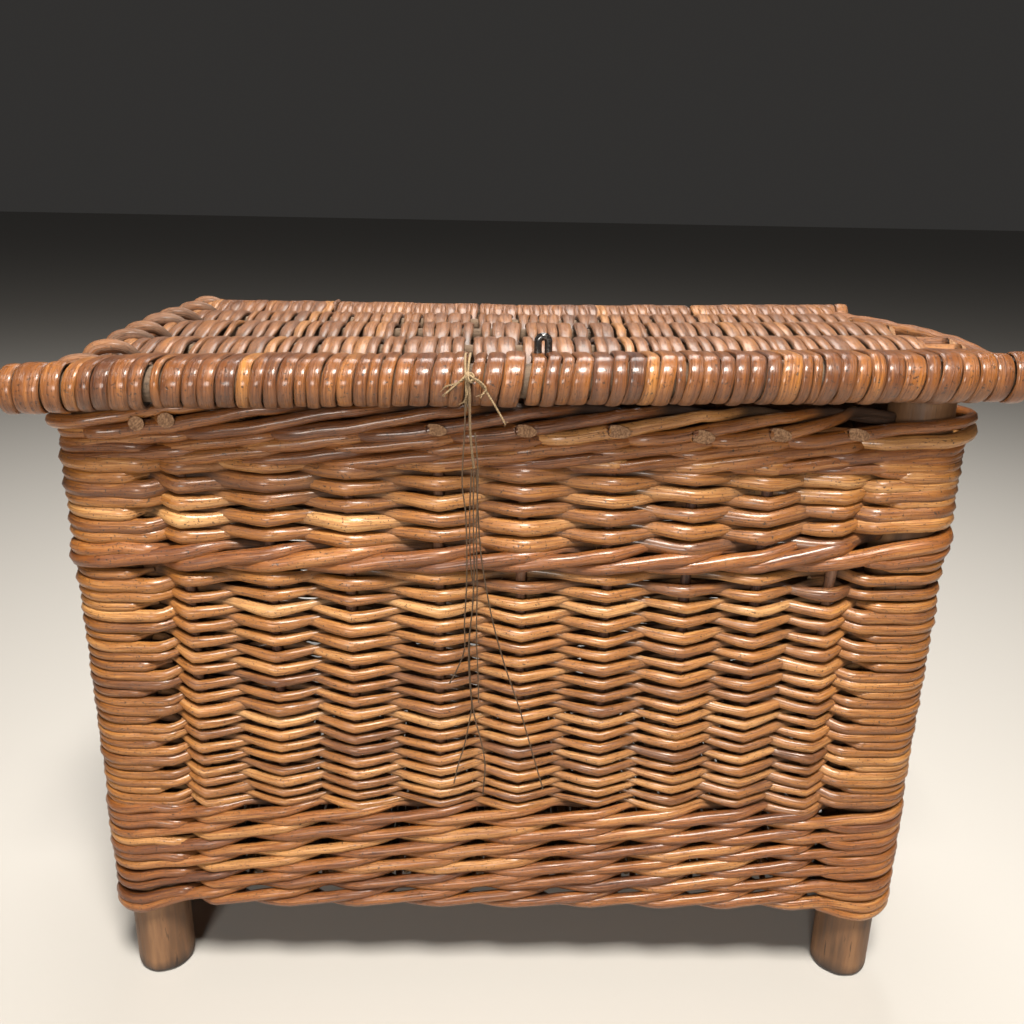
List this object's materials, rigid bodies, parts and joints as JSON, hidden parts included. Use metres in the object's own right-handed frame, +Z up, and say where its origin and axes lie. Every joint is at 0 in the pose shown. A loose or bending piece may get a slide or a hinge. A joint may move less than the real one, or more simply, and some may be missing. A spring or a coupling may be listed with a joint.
{
  "type": "laundry hamper",
  "caption": "Rectangular wicker hamper woven round corner posts that form its feet, with a hinged flat woven lid, rolled lid edges, a wire staple and an old twine tie.",
  "frame": {"origin": "on the floor, under the middle of the hamper's length and depth", "axes": "+Z up, -Y the front, +X along the length to the viewer's right when facing the front"},
  "size_m": [0.602, 0.3301, 0.4764],
  "materials": {
    "wall_willow": "glossy old varnish over warm honey-brown willow rods, with darker bark specks and dusty crevices",
    "wale_willow": "glossy varnished thicker willow rods, a little redder and darker than the wall",
    "border_willow": "satin varnished reddish-brown willow rods, darkest under the lid",
    "lid_willow": "glossy varnished flat willow strips, reddish brown with worn tan tops",
    "lid_rod_willow": "satin varnished bare willow rod, worn lighter along its top",
    "stake_willow": "matt brown willow stakes, dusty in the gaps",
    "stick_wood": "dusty grey-brown dry sticks",
    "base_willow": "matt unvarnished brown willow",
    "post_wood": "dull worn brown round wood with fine grain and a dark worn foot",
    "black_wire": "glossy black japanned wire",
    "twine": "dry pale jute twine, frayed"
  },
  "bodies": {
    "basket": {"corner_post_front_left": "post_wood", "corner_post_front_right": "post_wood", "corner_post_back_left": "post_wood", "corner_post_back_right": "post_wood", "stake_front_1": "stake_willow", "stake_front_2": "stake_willow", "stake_front_3": "stake_willow", "stake_front_4": "stake_willow", "stake_front_5": "stake_willow", "stake_front_6": "stake_willow", "stake_front_7": "stake_willow", "stake_front_8": "stake_willow", "stake_front_9": "stake_willow", "stake_back_1": "stake_willow", "stake_back_2": "stake_willow", "stake_back_3": "stake_willow", "stake_back_4": "stake_willow", "stake_back_5": "stake_willow", "stake_back_6": "stake_willow", "stake_back_7": "stake_willow", "stake_back_8": "stake_willow", "stake_back_9": "stake_willow", "stake_left_1": "stake_willow", "stake_left_2": "stake_willow", "stake_left_3": "stake_willow", "stake_right_1": "stake_willow", "stake_right_2": "stake_willow", "stake_right_3": "stake_willow", "bottom_wale": "wale_willow", "lower_rand": "wall_willow", "middle_wale": "wale_willow", "upper_rand": "wall_willow", "top_wale": "wale_willow", "border": "border_willow", "base_weave": "base_willow", "base_stick_1": "stick_wood", "base_stick_2": "stick_wood", "base_stick_3": "stick_wood", "base_stick_4": "stick_wood", "hinge_loop_left": "border_willow", "hinge_loop_right": "border_willow"},
    "lid": {"lid_weave": "lid_willow", "lid_front_stick": "stick_wood", "lid_back_stick": "stick_wood", "lid_stick_1": "stick_wood", "lid_stick_2": "stick_wood", "lid_stick_3": "stick_wood", "lid_end_rod_left": "lid_rod_willow", "lid_end_rod_right": "lid_rod_willow", "lid_staple": "black_wire", "twine_knot": "twine", "twine_lead": "twine", "twine_strand_1": "twine", "twine_strand_2": "twine", "twine_strand_3": "twine", "twine_strand_4": "twine", "twine_strand_5": "twine"}
  },
  "joints": [
    {"name": "lid_hinge", "type": "hinge", "parent": "basket", "child": "lid", "pos_m": [0, 0.14617, 0.451], "axis": [-1, 0, 0], "range_deg": [0, 105]}
  ]
}
